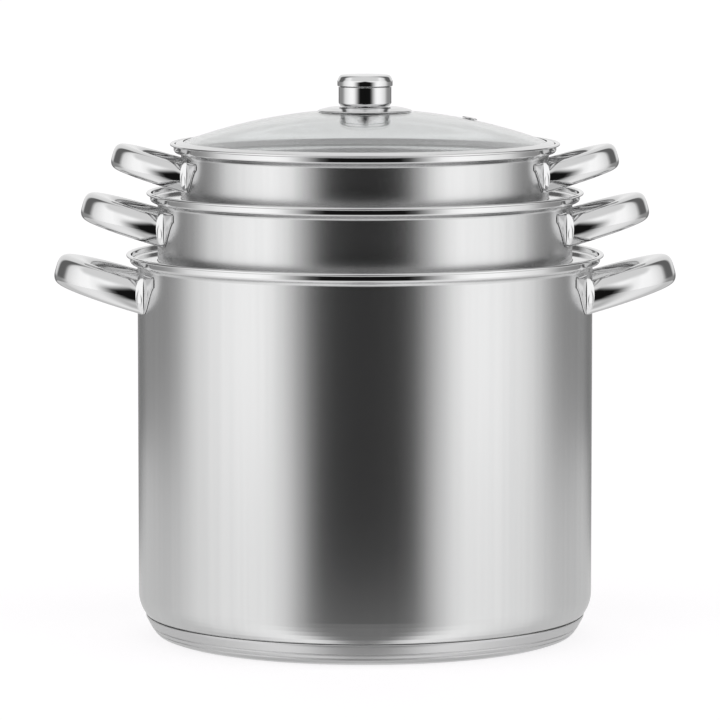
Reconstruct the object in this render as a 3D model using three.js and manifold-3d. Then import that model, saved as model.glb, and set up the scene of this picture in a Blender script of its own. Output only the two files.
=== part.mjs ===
// Water bath canner: a stockpot with an encapsulated base, two nested perforated inserts and a glass lid.
// Millimetres, +Z up. The origin is the centre of the flat base, and the handles point along +X and -X.

import * as THREE from 'three';
import { mergeVertices } from 'three/addons/utils/BufferGeometryUtils.js';
import Module from 'manifold-3d';

const wasm = await Module();
wasm.setup();

// Driving dimensions.
const SHEET = 0.8; // stainless sheet of the three vessels
const GAP = 0.3; // clearance between pieces that touch or are welded
const TURN = 36; // facets round every vessel, so that nested walls stay parallel
const SMALL_TURN = 16; // facets round the knob and its fasteners
const ARC_STEPS = 3; // facets in a quarter bend of a profile
const SEAT_PLAY = 0.4; // sideways play of a ring or the lid in the rim that holds it

// The three vessels: outer wall radius, height of the lip, underside of the floor, bend of the floor.
const POT = { name: 'pot', wallR: 150, lipZ: 253.7, floorZ: 7.2, bendR: 22, handle: 1 };
const BASKET = { name: 'basket', wallR: 136.6, lipZ: 294.4, floorZ: 28, bendR: 15, handle: 0.92 };
const STEAMER = { name: 'steamer', wallR: 121, lipZ: 326.6, floorZ: 211, bendR: 15, handle: 0.84 };

// The rim: the wall steps out to a ledge that carries the next vessel, then rises to a rolled lip.
const RIM = { bendZ: 10.2, bendR: 3.8, riserOut: 5, chamfer: 0.7, beadZ: 2.2, beadOut: 7.4, round: 0.5 };
const SEAT_DROP = RIM.bendZ - RIM.bendR - SHEET; // ledge surface below the lip

// Handles: a hollow loop of tall oval section, half an ellipse in plan, rising outward.
const HANDLE = {
  reach: 53.6, halfWidth: 42, height: 19.5, tiltDeg: 16.6, rootDrop: 25.2,
  endThickness: 21, rootThickness: 12, wall: 1.2, steps: 12, sides: 8, squareness: 2.6,
};

// Welded ear beside each handle leg: a leaf-shaped plate bent to the wall.
const EAR = {
  thickness: 1.5, gap: 0.5, start: 43.6, width: 21, topDrop: 11.6, sideDrop: 18, tipDrop: 37,
  corner: 2, waist: 0.45,
};

// Support ring of an insert: a flat washer with a raised edge.
const RING = { thickness: 1, edgeHeight: 0.6, edgeWidth: 1.6, edgeSlope: 0.6 };

// Underside of the base cap, from the foot up its shoulder to the seam on the pot.
const CAP = {
  thickness: 0.6,
  line: [[132.5, 0], [137, 1.5], [140.2, 4.8], [142.3, 8], [143.9, 11.2], [145.5, 14.5]],
};

const LID = {
  apexZ: 348.3, glass: 3.4, edgeR: 123.7, edgeTopZ: 325.5, boreR: 4.2, bandSheet: 0.5, bandLap: 4,
};
const VENT = {
  x: 69, y: 15, boreR: 3.4, tubeR: 3, holeR: 2, flangeR: 5, flange: 0.7, crown: 0.4, facets: 12,
};
const KNOB = {
  plateR: 31, plateFlatR: 18, plateDropR: 24, plateDrop: 1.1, gasketR: 12, sheet: 1,
  bodyR: 17.4, bodyBase: 350.6, bodyTop: 363.4, bodyRound: 1.6,
  capR: 18.2, capTop: 371.5, capRound: 3, capLip: 0.6,
};
const SCREW = {
  shankR: 2.5, shankTop: 360.5, headR: 5.5, headZ: 339.2, head: 2.2, boreR: 2.9,
  washerR: 8, washer: 0.8, gasketR: 9.5, nutR: 6.4, nut: 5,
};
const HOLE = { radius: 4, sides: 6, drill: 12 }; // perforations of the inserts

const STEEL = { color: 0xc4c4c6, roughness: 0.32, metalness: 1 };
const POLISHED = { color: 0xd8d8da, roughness: 0.08, metalness: 1 };
const ALUMINIUM = { color: 0xa9abae, roughness: 0.5, metalness: 1 };
const GLASS = { color: 0xdfe6e6, roughness: 0.05, metalness: 0, transparent: true, opacity: 0.4 };
const SILICONE = { color: 0xe6e6e2, roughness: 0.7, metalness: 0 };

const canner = new THREE.Group();

// Adds one named piece to the assembly.
function piece(name, geometry, finish) {
  const mesh = new THREE.Mesh(geometry, new THREE.MeshStandardMaterial(finish));
  mesh.name = name;
  canner.add(mesh);
  return mesh;
}

// Points of an arc from one angle to another, both in degrees; +Z of the profile is up.
function arc(centreR, centreZ, radius, fromDeg, toDeg, steps = ARC_STEPS) {
  return Array.from({ length: steps + 1 }, (_, i) => {
    const a = THREE.MathUtils.degToRad(fromDeg + ((toDeg - fromDeg) * i) / steps);
    return [centreR + radius * Math.cos(a), centreZ + radius * Math.sin(a)];
  });
}

// A line of [radius, height] points moved sideways, to its left as it runs.
function shifted(line, distance) {
  return line.map(([r, z], i) => {
    const [r0, z0] = line[Math.max(i - 1, 0)];
    const [r1, z1] = line[Math.min(i + 1, line.length - 1)];
    const length = Math.hypot(r1 - r0, z1 - z0);
    return [r - (distance * (z1 - z0)) / length, z + (distance * (r1 - r0)) / length];
  });
}

// Outline of bent sheet: a line, and the same line one thickness to its left.
function sheetOutline(line, thickness) {
  return [...line, ...shifted(line, thickness).reverse()];
}

// Turns a closed outline of [radius, height] points round the Z axis.
function turned(outline, facets = TURN) {
  const points = outline.map(([r, z]) => new THREE.Vector2(Math.max(r, 0), z));
  const onAxis = points[0].x === 0;
  if (!onAxis) points.push(points[0].clone());
  const geometry = new THREE.LatheGeometry(points, facets);
  geometry.rotateX(Math.PI / 2);
  return outward(geometry);
}

// Keeps positions only, merges shared vertices and makes the faces point out.
function outward(geometry) {
  for (const name of ['normal', 'uv']) geometry.deleteAttribute(name);
  const merged = mergeVertices(geometry, 1e-4);
  const index = Array.from(merged.index.array);
  const at = (i) => new THREE.Vector3().fromBufferAttribute(merged.attributes.position, i);
  const kept = [];
  let volume = 0;
  for (let i = 0; i < index.length; i += 3) {
    const [a, b, c] = index.slice(i, i + 3);
    if (a === b || b === c || a === c) continue;
    kept.push(a, b, c);
    volume += at(a).dot(at(b).cross(at(c)));
  }
  if (volume < 0) {
    for (let i = 0; i < kept.length; i += 3) [kept[i + 1], kept[i + 2]] = [kept[i + 2], kept[i + 1]];
  }
  merged.setIndex(kept);
  merged.computeVertexNormals();
  return merged;
}

function solid(geometry) {
  return new wasm.Manifold(new wasm.Mesh({
    numProp: 3,
    vertProperties: new Float32Array(geometry.attributes.position.array),
    triVerts: new Uint32Array(geometry.index.array),
  }));
}

// Cuts every tool out of a geometry.
function cut(geometry, tools) {
  let body = solid(geometry);
  for (const tool of tools) body = body.subtract(solid(tool));
  const mesh = body.getMesh();
  const result = new THREE.BufferGeometry();
  result.setAttribute('position', new THREE.BufferAttribute(new Float32Array(mesh.vertProperties), 3));
  result.setIndex(new THREE.BufferAttribute(new Uint32Array(mesh.triVerts), 1));
  result.computeVertexNormals();
  return result;
}

// A cylinder cutter whose axis is Z, then placed by a matrix.
function borer(radius, length, sides, placement) {
  const geometry = new THREE.CylinderGeometry(radius, radius, length, sides);
  geometry.rotateX(Math.PI / 2);
  geometry.applyMatrix4(placement);
  return outward(geometry);
}

// Holes through a vessel's wall in staggered rows, pointing at the axis.
function wallBorers({ wallR }, { rows, perRow, firstZ, pitchZ }) {
  const tools = [];
  for (let row = 0; row < rows; row++) {
    for (let i = 0; i < perRow; i++) {
      const angle = (2 * Math.PI * (i + (row % 2) / 2 + 0.25)) / perRow;
      const turn = new THREE.Matrix4().makeRotationZ(angle);
      const out = new THREE.Matrix4().makeTranslation(wallR, 0, firstZ + row * pitchZ);
      const aim = new THREE.Matrix4().makeRotationY(Math.PI / 2);
      tools.push(borer(HOLE.radius, HOLE.drill, HOLE.sides, turn.multiply(out).multiply(aim)));
    }
  }
  return tools;
}

// Holes through a vessel's floor on rings round the centre.
function floorBorers({ floorZ }, { rings, pitch }) {
  const tools = [];
  for (let ring = 0; ring <= rings; ring++) {
    const count = Math.max(1, 6 * ring);
    for (let i = 0; i < count; i++) {
      const a = (2 * Math.PI * i) / count;
      const centre = [ring * pitch * Math.cos(a), ring * pitch * Math.sin(a), floorZ];
      const at = new THREE.Matrix4().makeTranslation(...centre);
      tools.push(borer(HOLE.radius, HOLE.drill, HOLE.sides, at));
    }
  }
  return tools;
}

// Outline of a vessel: floor, bend, wall, stepped rim and rolled lip, then back down inside one sheet away.
function vesselOutline({ wallR, lipZ, floorZ, bendR }) {
  const inR = wallR - SHEET;
  const bend = [wallR - bendR, floorZ + bendR];
  const ledge = [wallR + RIM.bendR, lipZ - RIM.bendZ];
  const riserIn = wallR + RIM.riserOut - SHEET;
  return [
    [0, floorZ],
    ...arc(...bend, bendR, -90, 0),
    ...arc(...ledge, RIM.bendR, 180, 90, 2),
    [wallR + RIM.riserOut, lipZ - RIM.bendZ + RIM.bendR + RIM.chamfer],
    [wallR + RIM.riserOut, lipZ - RIM.beadZ],
    [wallR + RIM.beadOut, lipZ - RIM.beadZ + RIM.round],
    [wallR + RIM.beadOut, lipZ - RIM.round],
    [wallR + RIM.beadOut - 2 * RIM.round, lipZ],
    [riserIn, lipZ],
    [riserIn, lipZ - SEAT_DROP],
    ...arc(...ledge, RIM.bendR + SHEET, 90, 180, 2),
    ...arc(...bend, bendR - SHEET, 0, -90),
    [0, floorZ + SHEET],
  ];
}

// Section of the handle: a squared-off oval, unit size, with the hollow inside.
function handleSection(k) {
  const oval = (halfT, halfH) => Array.from({ length: HANDLE.sides }, (_, i) => {
    const a = (2 * Math.PI * (i + 0.5)) / HANDLE.sides;
    const power = (v) => Math.sign(v) * Math.abs(v) ** (2 / HANDLE.squareness);
    return new THREE.Vector2(halfT * power(Math.cos(a)), halfH * power(Math.sin(a)));
  });
  const section = new THREE.Shape(oval(1, 1));
  const halfT = (HANDLE.endThickness * k) / 2;
  const halfH = (HANDLE.height * k) / 2;
  section.holes.push(new THREE.Path(oval(1 - HANDLE.wall / halfT, 1 - HANDLE.wall / halfH)));
  return section;
}

// The loop: the section is extruded straight, then bent round half an ellipse from wall to wall.
function handleGeometry({ wallR, lipZ, handle: k }) {
  const geometry = new THREE.ExtrudeGeometry(handleSection(k), {
    depth: 1, steps: HANDLE.steps, bevelEnabled: false,
  });
  const tilt = THREE.MathUtils.degToRad(HANDLE.tiltDeg);
  const rootZ = lipZ - HANDLE.rootDrop * k;
  const clearR = wallR + GAP;
  const position = geometry.attributes.position;
  const p = new THREE.Vector3();
  for (let i = 0; i < position.count; i++) {
    p.fromBufferAttribute(position, i);
    const a = Math.PI * (p.z - 0.5); // -90 degrees at one root, 0 at the outer end, 90 at the other root
    const reach = HANDLE.reach * k / Math.cos(tilt);
    const half = HANDLE.halfWidth * k;
    const nearRoot = Math.abs(Math.sin(a)) ** 2;
    const thickness = k * THREE.MathUtils.lerp(HANDLE.endThickness, HANDLE.rootThickness, nearRoot);
    const normal = new THREE.Vector2(Math.cos(a) / reach, Math.sin(a) / half).normalize();
    const inset = (thickness / 2) * (1 - p.x);
    const u = reach * Math.cos(a) - normal.x * inset;
    const y = half * Math.sin(a) - normal.y * inset;
    const h = (p.y * HANDLE.height * k) / 2;
    let x = wallR + u * Math.cos(tilt) - h * Math.sin(tilt);
    let z = rootZ + u * Math.sin(tilt) + h * Math.cos(tilt);
    const onWall = Math.sqrt(clearR ** 2 - y ** 2);
    if (p.z < 1e-6 || p.z > 1 - 1e-6) {
      z += (onWall - x) * Math.tan(tilt);
      x = onWall;
    }
    position.setXYZ(i, x, y, z);
  }
  return outward(geometry);
}

// Outline of an ear in wall-length and height: straight top and side, then a taper to the tip at the leg.
function earGeometry({ wallR, lipZ, handle: k }) {
  const top = -EAR.topDrop;
  const side = -EAR.sideDrop * k - EAR.corner * (1 - k);
  const tip = -EAR.tipDrop * k;
  const width = EAR.width * k;
  const outline = new THREE.Shape();
  outline.moveTo(0, tip);
  outline.quadraticCurveTo(width * EAR.waist, (side + tip) / 2 - 1, width, side);
  outline.lineTo(width, top - EAR.corner);
  outline.lineTo(width - EAR.corner, top);
  outline.lineTo(0, top);
  outline.closePath();
  const geometry = new THREE.ExtrudeGeometry(outline, {
    depth: EAR.thickness, steps: 1, bevelEnabled: false, curveSegments: 4,
  });
  const innerR = wallR + EAR.gap;
  const startAngle = Math.asin((EAR.start * k) / wallR);
  const position = geometry.attributes.position;
  for (let i = 0; i < position.count; i++) {
    const a = startAngle + position.getX(i) / wallR;
    const r = innerR + position.getZ(i);
    position.setXYZ(i, r * Math.cos(a), r * Math.sin(a), lipZ + position.getY(i));
  }
  return outward(geometry);
}

// Two handles, each with an ear in front and one behind.
function addHandles(vessel) {
  for (const [side, xSign] of [['left', -1], ['right', 1]]) {
    const mirrorX = new THREE.Matrix4().makeScale(xSign, 1, 1);
    piece(`${vessel.name}_handle_${side}`, outward(handleGeometry(vessel).applyMatrix4(mirrorX)), POLISHED);
    for (const [end, ySign] of [['front', -1], ['back', 1]]) {
      const mirror = new THREE.Matrix4().makeScale(xSign, ySign, 1);
      piece(`${vessel.name}_ear_${side}_${end}`, outward(earGeometry(vessel).applyMatrix4(mirror)), POLISHED);
    }
  }
}

// Ring welded round an insert; its edge rests on the ledge of the vessel below.
function supportRing(insert, below) {
  const seatZ = below.lipZ - SEAT_DROP + GAP;
  const outerR = below.wallR + RIM.riserOut - SHEET - SEAT_PLAY;
  const topZ = seatZ + RING.thickness;
  const edgeZ = topZ + RING.edgeHeight;
  const edgeR = outerR - RING.edgeWidth;
  return turned([
    [insert.wallR + GAP, seatZ], [outerR, seatZ], [outerR, edgeZ],
    [edgeR, edgeZ], [edgeR - RING.edgeSlope, topZ], [insert.wallR + GAP, topZ],
  ]);
}

// Base: an aluminium core pressed between the pot floor and a polished stainless cap.
const CAP_LINE = [[0, 0], ...CAP.line];

function coreOutline() {
  const centre = [POT.wallR - POT.bendR, POT.floorZ + POT.bendR];
  const clearance = GAP + 0.1; // facets of the arc cut its corners
  const underFloor = arc(...centre, POT.bendR + clearance, -52, -90);
  const aboveCap = shifted(CAP_LINE, CAP.thickness + clearance).slice(0, -1);
  return [...aboveCap, ...underFloor, [0, POT.floorZ - GAP]];
}

// Height of the glass: a ball cap from the apex to the edge.
const LID_RISE = LID.apexZ - LID.edgeTopZ;
const BALL_R = (LID.edgeR ** 2 + LID_RISE ** 2) / (2 * LID_RISE);
function glassZ(r) {
  return LID.apexZ - BALL_R + Math.sqrt(BALL_R ** 2 - r ** 2);
}

function glassGeometry() {
  const radii = [LID.boreR, 30, 60, 90, 118, LID.edgeR];
  const top = radii.map((r) => [r, glassZ(r)]);
  const under = radii.map((r) => [r, glassZ(r) - LID.glass]).reverse();
  const vent = borer(VENT.boreR, 3 * LID.glass, VENT.facets, ventPlacement());
  return cut(turned([...top, ...under]), [vent]);
}

// The vent's frame: on top of the glass, with Z along the glass's normal.
function ventPlacement() {
  const r = Math.hypot(VENT.x, VENT.y);
  const lean = Math.asin(r / BALL_R);
  const toward = Math.atan2(VENT.y, VENT.x);
  const placement = new THREE.Matrix4().makeTranslation(VENT.x, VENT.y, glassZ(r));
  placement.multiply(new THREE.Matrix4().makeRotationZ(toward));
  return placement.multiply(new THREE.Matrix4().makeRotationY(lean));
}

function ventGeometry() {
  const low = -LID.glass - 0.5;
  const geometry = turned([
    [VENT.holeR, low], [VENT.tubeR, low], [VENT.tubeR, GAP], [VENT.flangeR, GAP],
    [VENT.flangeR - VENT.crown, GAP + VENT.flange], [VENT.holeR, GAP + VENT.flange + VENT.crown],
  ], VENT.facets);
  return outward(geometry.applyMatrix4(ventPlacement()));
}

// Rolled steel channel that protects the edge of the glass and rests on the steamer's ledge.
function bandOutline() {
  const outR = STEAMER.wallR + RIM.riserOut - SHEET - SEAT_PLAY;
  const lowZ = STEAMER.lipZ - SEAT_DROP + GAP;
  const lapR = LID.edgeR - LID.bandLap;
  const t = LID.bandSheet;
  const lowIn = glassZ(LID.edgeR) - LID.glass - GAP;
  const topIn = glassZ(LID.edgeR) + GAP;
  return [
    [outR, lowZ], [outR, topIn + t], [lapR, glassZ(lapR) + GAP + t], [lapR, glassZ(lapR) + GAP],
    [LID.edgeR + GAP, topIn], [LID.edgeR + GAP, lowIn], [lapR, lowIn], [lapR, lowZ],
  ];
}

// Top of the knob: a round-edged disc with a short skirt that stands on the knob's body.
function capOutline(lowZ) {
  const { capR, capTop, capRound, capLip, bodyR, sheet } = KNOB;
  const skirtR = bodyR - sheet - GAP;
  return [
    [0, capTop], ...arc(capR - capRound, capTop - capRound, capRound, 90, 0), [capR, lowZ + capLip],
    [capR - capLip, lowZ], [skirtR, lowZ], [skirtR, capTop - 2 * sheet], [0, capTop - sheet],
  ];
}

// Flat ring round the knob's screw.
function washer(radius, lowZ, highZ) {
  return turned([[SCREW.boreR, lowZ], [radius, lowZ], [radius, highZ], [SCREW.boreR, highZ]], SMALL_TURN);
}

function addLid() {
  piece('lid_glass', glassGeometry(), GLASS);
  piece('lid_band', turned(bandOutline()), POLISHED);
  piece('vent_eyelet', ventGeometry(), POLISHED);
  const plateZ = KNOB.bodyBase - GAP;
  const rimZ = glassZ(KNOB.plateR) + GAP + KNOB.sheet;
  piece('knob_base_plate', turned(sheetOutline([
    [KNOB.plateR, rimZ], [KNOB.plateDropR, plateZ - KNOB.plateDrop],
    [KNOB.plateFlatR, plateZ], [SCREW.boreR, plateZ],
  ], KNOB.sheet), SMALL_TURN), POLISHED);
  piece('plate_gasket', washer(KNOB.gasketR, LID.apexZ + GAP, plateZ - KNOB.sheet - GAP), SILICONE);
  piece('knob_body', turned(sheetOutline([
    [SCREW.boreR, KNOB.bodyBase], [KNOB.bodyR - KNOB.bodyRound, KNOB.bodyBase],
    [KNOB.bodyR, KNOB.bodyBase + KNOB.bodyRound], [KNOB.bodyR, KNOB.bodyTop],
  ], KNOB.sheet), SMALL_TURN), POLISHED);
  piece('knob_cap', turned(capOutline(KNOB.bodyTop + GAP), SMALL_TURN), POLISHED);
  addKnobFastener();
}

// The screw comes up through washer, gasket, glass and plate into a nut inside the knob.
function addKnobFastener() {
  const { shankR, headR, headZ, shankTop } = SCREW;
  const chamfer = SCREW.head / 3;
  const shoulderZ = headZ + SCREW.head;
  const washerZ = shoulderZ + GAP;
  const gasketZ = washerZ + SCREW.washer + GAP;
  piece('knob_screw', turned([
    [0, headZ], [headR - 2 * chamfer, headZ], [headR, headZ + chamfer], [headR, shoulderZ],
    [shankR, shoulderZ], [shankR, shankTop - chamfer], [shankR - chamfer, shankTop], [0, shankTop],
  ], SMALL_TURN), STEEL);
  piece('screw_washer', washer(SCREW.washerR, washerZ, washerZ + SCREW.washer), STEEL);
  piece('screw_gasket', washer(SCREW.gasketR, gasketZ, LID.apexZ - LID.glass - GAP), SILICONE);
  const nut = new THREE.Shape(Array.from({ length: 6 }, (_, i) => {
    const a = (Math.PI * i) / 3;
    return new THREE.Vector2(SCREW.nutR * Math.cos(a), SCREW.nutR * Math.sin(a));
  }));
  nut.holes.push(new THREE.Path().absarc(0, 0, SCREW.boreR, 0, 2 * Math.PI, true));
  const nutGeometry = new THREE.ExtrudeGeometry(nut, {
    depth: SCREW.nut, bevelEnabled: false, curveSegments: 8,
  });
  nutGeometry.translate(0, 0, KNOB.bodyBase + KNOB.sheet + GAP);
  piece('knob_nut', outward(nutGeometry), STEEL);
}

piece('pot_shell', turned(vesselOutline(POT)), STEEL);
piece('base_core', turned(coreOutline()), ALUMINIUM);
piece('base_cap', turned(sheetOutline(CAP_LINE, CAP.thickness)), POLISHED);
addHandles(POT);

const basketHoles = [
  ...wallBorers(BASKET, { rows: 4, perRow: 16, firstZ: 62, pitchZ: 34 }),
  ...floorBorers(BASKET, { rings: 2, pitch: 44 }),
];
piece('basket_shell', cut(turned(vesselOutline(BASKET)), basketHoles), STEEL);
piece('basket_support_ring', supportRing(BASKET, POT), POLISHED);
addHandles(BASKET);

const steamerHoles = floorBorers(STEAMER, { rings: 3, pitch: 29 });
piece('steamer_shell', cut(turned(vesselOutline(STEAMER)), steamerHoles), STEEL);
piece('steamer_support_ring', supportRing(STEAMER, BASKET), POLISHED);
addHandles(STEAMER);

addLid();

export default canner;
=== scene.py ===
"""Looks for the water bath canner: fine surfaces, materials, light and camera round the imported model."""

import math

import bmesh
import bpy
import numpy as np
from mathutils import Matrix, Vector
from mathutils.geometry import delaunay_2d_cdt


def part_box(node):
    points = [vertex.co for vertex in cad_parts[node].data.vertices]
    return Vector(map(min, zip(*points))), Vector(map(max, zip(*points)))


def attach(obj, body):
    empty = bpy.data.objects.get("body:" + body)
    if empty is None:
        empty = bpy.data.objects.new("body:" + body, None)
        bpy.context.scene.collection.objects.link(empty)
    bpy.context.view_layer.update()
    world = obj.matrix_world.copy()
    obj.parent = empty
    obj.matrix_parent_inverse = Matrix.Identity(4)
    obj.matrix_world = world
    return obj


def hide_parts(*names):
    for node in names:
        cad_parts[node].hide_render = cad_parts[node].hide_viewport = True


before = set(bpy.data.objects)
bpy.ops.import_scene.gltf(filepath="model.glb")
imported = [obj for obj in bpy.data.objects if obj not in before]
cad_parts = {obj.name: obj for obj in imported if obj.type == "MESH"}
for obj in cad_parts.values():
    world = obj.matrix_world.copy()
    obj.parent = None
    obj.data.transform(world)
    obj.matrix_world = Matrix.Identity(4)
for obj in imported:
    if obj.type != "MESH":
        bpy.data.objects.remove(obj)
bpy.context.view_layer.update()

MM = 0.001

# How the vessels are made, in metres. Places and outer sizes come from the frame.
SHEET = 0.8 * MM
GAP = 0.3 * MM  # between pieces that touch
LIP_OUT = 7.4 * MM  # lip beyond the wall
BEAD = 1.7 * MM  # height of the rolled lip
RISER_OUT = 5.0 * MM
LEDGE_DROP = 6.4 * MM  # underside of the ledge below the lip
RIM_BEND = {
    "ledge": 2.8 * MM, "riser": 2.0 * MM, "crease": 0.35 * MM, "lip_under": 0.6 * MM, "lip_top": 1.0 * MM,
    "mouth": 0.9 * MM, "seat": 0.5 * MM,
}
ON_AXIS = 1e-7  # radius under which a point counts as on the axis
SUPPORT = 0.25 * MM  # extra ring of points beside a bend, which keeps the flat beside it flat

# Bend of the floor, holes round the wall, and rows of them. The pot's count only sets how smooth it is.
VESSELS = {"pot": (22 * MM, 60, 0), "basket": (15 * MM, 54, 11), "steamer": (15 * MM, 48, 2)}
HOLE_R = 3.1 * MM
HOLE_PITCH = 16.0 * MM  # on the floors
ROW_PITCH = 0.9  # height of a row on the walls, in steps along the row
HOLE_COLLAR = 1.12  # radius of the smooth ring round a hole, in hole radii
HOLE_SIDES = 14  # on the floors
HOLE_START = 2 * MM  # first row's cells above the floor's bend
RING = {"plate": 1.0 * MM, "roll": 2.2 * MM, "slope": 0.8 * MM}  # support ring, with its roll at the edge

# The pot's base, from its foot up. Corners are (radius, height[, bend]) in millimetres.
CAP_FOOT_R = 132.5 * MM
CAP_FOOT_BEND = 6 * MM
CAP_SHEET = 0.6 * MM
CAP_SHOULDER = [(137.6, 1.9, 3)]
CAP_GROOVES = [
    (139.9, 4.3, 0.4), (139.3, 4.8, 0.4), (140.5, 5.3, 0.4),
    (141.9, 7.3, 0.4), (141.3, 7.9, 0.4), (142.5, 8.4, 0.4),
]
CAP_INSIDE = [(138.4, 3.9, 3), (141.3, 8.4, 3)]
CORE_SHOULDER = [(136.4, 2.9), (138.8, 5.4), (140.9, 8.4), (142.3, 11.2)]
CORE_GAP = 0.4 * MM  # round the shell's bend
CORE_REACH = 38  # degrees up the shell's bend

HANDLE_TILT = math.radians(16.6)
HANDLE = {
    "reach": 54.3 * MM, "half_width": 42.0 * MM, "height": 21.3 * MM, "root_drop": 25.6 * MM,
    "end_thickness": 21.0 * MM, "root_thickness": 12.0 * MM, "sheet": 1.2 * MM,
    "end_squareness": 3.2, "root_squareness": 1.9,
}
EAR = {
    "thickness": 0.7 * MM, "gap": 0.25 * MM, "start": 43.6 * MM, "width": 19.5 * MM,
    "top_drop": 11.0 * MM, "side_drop": 18.0 * MM, "tip_drop": 37.0 * MM, "corner": 2.0 * MM,
    "edge": 2.2 * MM, "edge_share": 0.15, "edge_slope": 0.8, "curl": 0.75,
}
# Pressed-flat end of each handle leg, a leaf with an oval dimple.
LEAF = {
    "width": 5.4 * MM, "height": 24.5 * MM, "rise": 2.5 * MM, "crest": 0.93, "sink": 1.0 * MM,
    "dimple_at": 0.52, "dimple_width": 3.2 * MM, "dimple_height": 11.5 * MM, "dimple_drop": 3.2 * MM,
    "dimple_depth": 0.2 * MM, "dimple_blur": 0.3, "squareness": 2.6, "foot_taper": 0.12, "fullness": 0.7,
}

GLASS = 3.4 * MM
GLASS_BORE_R = 4.2 * MM
BAND_SHEET = 0.5 * MM
BAND_LAP = 4.0 * MM  # of the edge band over the glass
FASTENER_BORE_R = 2.9 * MM
SHANK_R = 2.5 * MM
THREAD_PITCH = 0.5 * MM


# ---------------------------------------------------------------- outlines

def metres(corners):
    """Corners given in millimetres, in metres."""
    return [tuple(value * MM for value in corner) for corner in corners]


def rounded(corners, closed=True, step_deg=7.5):
    """Points of an outline of (radius, height[, bend]) corners; each bend becomes an arc."""
    out = []
    count = len(corners)
    for i, corner in enumerate(corners):
        here = np.array(corner[:2], float)
        bend = corner[2] if len(corner) > 2 else 0
        inside = closed or 0 < i < count - 1
        if not bend or not inside:
            out.append(here)
            continue
        to_last = np.array(corners[i - 1][:2], float) - here
        to_next = np.array(corners[(i + 1) % count][:2], float) - here
        to_last /= np.linalg.norm(to_last)
        to_next /= np.linalg.norm(to_next)
        half = math.acos(max(-1, min(1, float(to_last @ to_next)))) / 2
        middle = (to_last + to_next) / np.linalg.norm(to_last + to_next)
        centre = here + middle * bend / math.sin(half)
        first = here + to_last * bend / math.tan(half) - centre
        last = here + to_next * bend / math.tan(half) - centre
        start = math.atan2(first[1], first[0])
        turn = (math.atan2(last[1], last[0]) - start + math.pi) % (2 * math.pi) - math.pi
        steps = max(2, math.ceil(abs(math.degrees(turn)) / step_deg))
        for k in range(steps + 1):
            angle = start + turn * k / steps
            out.append(centre + bend * np.array([math.cos(angle), math.sin(angle)]))
    return supported(out, closed)


def supported(points, closed):
    """The same outline with a point close to each end of every long straight."""
    out = []
    ends = range(len(points)) if closed else range(len(points) - 1)
    for i in ends:
        a, b = points[i], points[(i + 1) % len(points)]
        out.append(a)
        length = np.linalg.norm(b - a)
        if length > 6 * SUPPORT:
            out.append(a + (b - a) * SUPPORT / length)
            out.append(b - (b - a) * SUPPORT / length)
    if not closed:
        out.append(points[-1])
    return out


# ---------------------------------------------------------------- meshes

def revolve(outline, steps, closed=True):
    """Vertices and faces of an outline turned round Z. Along the axis itself no faces are made."""
    verts, rings = [], []
    for r, z in outline:
        if r < ON_AXIS:
            rings.append([len(verts)] * steps)
            verts.append((0.0, 0.0, z))
            continue
        rings.append(list(range(len(verts), len(verts) + steps)))
        for k in range(steps):
            a = 2 * math.pi * k / steps
            verts.append((r * math.cos(a), r * math.sin(a), z))
    on_axis = outline[0][0] < ON_AXIS
    pairs = len(rings) if closed and not on_axis else len(rings) - 1
    faces = []
    for i in range(pairs):
        low, high = rings[i], rings[(i + 1) % len(rings)]
        for k in range(steps):
            n = (k + 1) % steps
            quad = [low[k], low[n], high[n], high[k]]
            face = [v for j, v in enumerate(quad) if v != quad[j - 1]]
            if len(face) > 2:
                faces.append(face)
    return verts, faces


def joined(*parts):
    """One list of vertices and faces from several."""
    verts, faces = [], []
    for part_verts, part_faces in parts:
        base = len(verts)
        verts.extend(tuple(v) for v in part_verts)
        faces.extend([base + v for v in f] for f in part_faces)
    return verts, faces


def piece(name, shape, material, body, replaces, weld=0.0, sharp_deg=None):
    """A finished Blender piece that stands for CAD nodes and rides on their body."""
    mesh = bpy.data.meshes.new(name)
    verts, faces = shape
    mesh.from_pydata(verts, [], faces)
    bm = bmesh.new()
    bm.from_mesh(mesh)
    if weld:
        bmesh.ops.remove_doubles(bm, verts=bm.verts, dist=weld)
    bmesh.ops.recalc_face_normals(bm, faces=bm.faces)
    bm.to_mesh(mesh)
    bm.free()
    mesh.shade_smooth()
    if sharp_deg:
        mesh.set_sharp_from_angle(angle=math.radians(sharp_deg))
    mesh.materials.append(material)
    obj = bpy.data.objects.new(name, mesh)
    bpy.context.scene.collection.objects.link(obj)
    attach(obj, body)
    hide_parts(*replaces)
    return obj


# ---------------------------------------------------------------- vessels

class Vessel:
    """Sizes of one vessel, from its CAD nodes."""

    def __init__(self, name, bend, columns, rows):
        low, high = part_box(name + "_shell")
        self.name = name
        self.lip_z = high.z
        self.floor_z = low.z
        self.wall_r = high.x - LIP_OUT
        self.riser_in = self.wall_r + RISER_OUT - SHEET
        self.bend = bend
        self.columns = columns
        self.rows = rows
        self.steps = 4 * columns
        self.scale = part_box(name + "_handle_right")[1].y / HANDLE["half_width"]


def rim_corners(v):
    """Corners of the rim, from the wall's outside over the lip to its inside."""
    r, lip, bend = v.wall_r, v.lip_z, RIM_BEND
    ledge = lip - LEDGE_DROP
    return [
        (r, ledge, bend["ledge"]),
        (r + RISER_OUT, ledge, bend["riser"]),
        (r + RISER_OUT, lip - BEAD, bend["crease"]),
        (r + LIP_OUT, lip - BEAD, bend["lip_under"]),
        (r + LIP_OUT, lip, bend["lip_top"]),
        (v.riser_in, lip, bend["mouth"]),
        (v.riser_in, ledge + SHEET, bend["seat"]),
        (r - SHEET, ledge + SHEET, bend["ledge"] + SHEET),
    ]


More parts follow.
